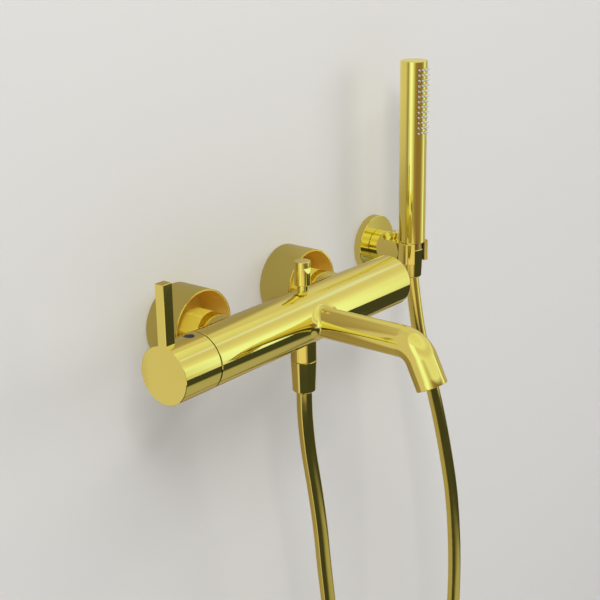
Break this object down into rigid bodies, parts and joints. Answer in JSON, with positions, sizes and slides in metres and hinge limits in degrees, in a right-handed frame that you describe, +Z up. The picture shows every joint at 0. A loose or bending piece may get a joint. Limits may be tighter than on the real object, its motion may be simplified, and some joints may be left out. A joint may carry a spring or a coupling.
{
  "type": "wall mounted bath faucet",
  "caption": "Wall mounted single lever bath mixer with a horizontal tubular body, bent tubular spout, pull-up diverter, cup escutcheons and a stick hand shower on a wall holder with its hose.",
  "frame": {"origin": "on the wall plane, midway between the axes of the two wall ports", "axes": "+X along the wall towards the hand shower, +Y into the wall, +Z up"},
  "size_m": [0.4434, 0.261, 0.8165],
  "materials": {
    "gold_polished": "polished PVD gold",
    "gold_hose": "smooth metal-effect gold sleeve",
    "gold_thread": "turned brass thread",
    "brass_inner": "turned brass",
    "blue_index": "glossy",
    "silicone": "matte silicone",
    "seal_rubber": "matte",
    "plastic_white": "matte",
    "plastic_grey": "matte",
    "plastic_liner": "satin",
    "ceramic": "lapped ceramic",
    "steel": "brushed",
    "steel_dark": "blackened",
    "aerator_chrome": "satin"
  },
  "bodies": {
    "mixer": {"mixer_body": "gold_polished", "body_end_plug": "gold_polished", "end_plug_seal": "seal_rubber", "spout": "gold_polished", "aerator_housing": "aerator_chrome", "aerator_insert": "plastic_white", "aerator_washer": "seal_rubber", "handle_glide_ring": "brass_inner", "cartridge_housing": "plastic_grey", "cartridge_base": "plastic_grey", "cartridge_base_seals": "seal_rubber", "ceramic_disc_fixed": "ceramic", "stem_seal": "seal_rubber", "cartridge_ring_nut": "brass_inner", "diverter_guide": "gold_polished", "diverter_rod_seal": "seal_rubber", "diverter_cage": "plastic_grey", "diverter_spring": "steel", "hose_outlet": "gold_polished", "non_return_valve": "plastic_white", "left_union": "gold_thread", "right_union": "gold_thread", "left_union_nut": "gold_polished", "right_union_nut": "gold_polished", "left_inlet_washer": "seal_rubber", "right_inlet_washer": "seal_rubber", "left_escutcheon": "gold_polished", "right_escutcheon": "gold_polished", "outlet_hose_nut": "gold_polished", "outlet_hose_ferrule": "brass_inner", "outlet_hose_washer": "seal_rubber", "hose": "gold_hose", "bracket_rose": "gold_polished", "bracket_back_plate": "steel", "bracket_screws": "steel", "wall_plugs": "plastic_grey", "rose_set_screw": "steel_dark", "arm_spindle": "gold_polished", "holder_arm": "gold_polished", "holder_liner": "plastic_liner", "arm_lock_screw": "gold_polished"},
    "lever": {"handle": "gold_polished", "index_plug": "blue_index", "handle_grub_screw": "steel_dark", "cartridge_stem": "brass_inner", "ceramic_disc_turning": "ceramic"},
    "diverter": {"diverter_knob": "gold_polished", "diverter_rod": "steel", "diverter_valve_disc": "seal_rubber"},
    "hose_end": {"shower_hose_ferrule": "brass_inner"},
    "hand_shower": {"hand_shower_tube": "gold_polished", "hand_shower_end_cap": "gold_polished", "nozzle_mat": "silicone", "spray_duct": "plastic_grey", "shower_connector": "brass_inner", "flow_restrictor": "plastic_white", "shower_hose_nut": "gold_polished", "shower_hose_washer": "seal_rubber"}
  },
  "joints": [
    {"name": "lever_turn", "type": "hinge", "parent": "mixer", "child": "lever", "pos_m": [-0.154, -0.084, -0.003], "axis": [1, 0, 0], "range_deg": [0, 100]},
    {"name": "diverter_pull", "type": "slide", "parent": "mixer", "child": "diverter", "axis": [0, 0, 1], "range_m": [0, 0.0076], "stiffness_N_per_m": 200, "springref_m": -0.005, "deforming": ["diverter_spring"]},
    {"name": "hand_shower_lift", "type": "slide", "parent": "mixer", "child": "hose_end", "axis": [0, 0, 1], "range_m": [0, 0.06]},
    {"name": "hand_shower_turn", "type": "hinge", "parent": "hose_end", "child": "hand_shower", "pos_m": [0.221, -0.051, 0], "axis": [0, 0, 1], "continuous": true}
  ]
}
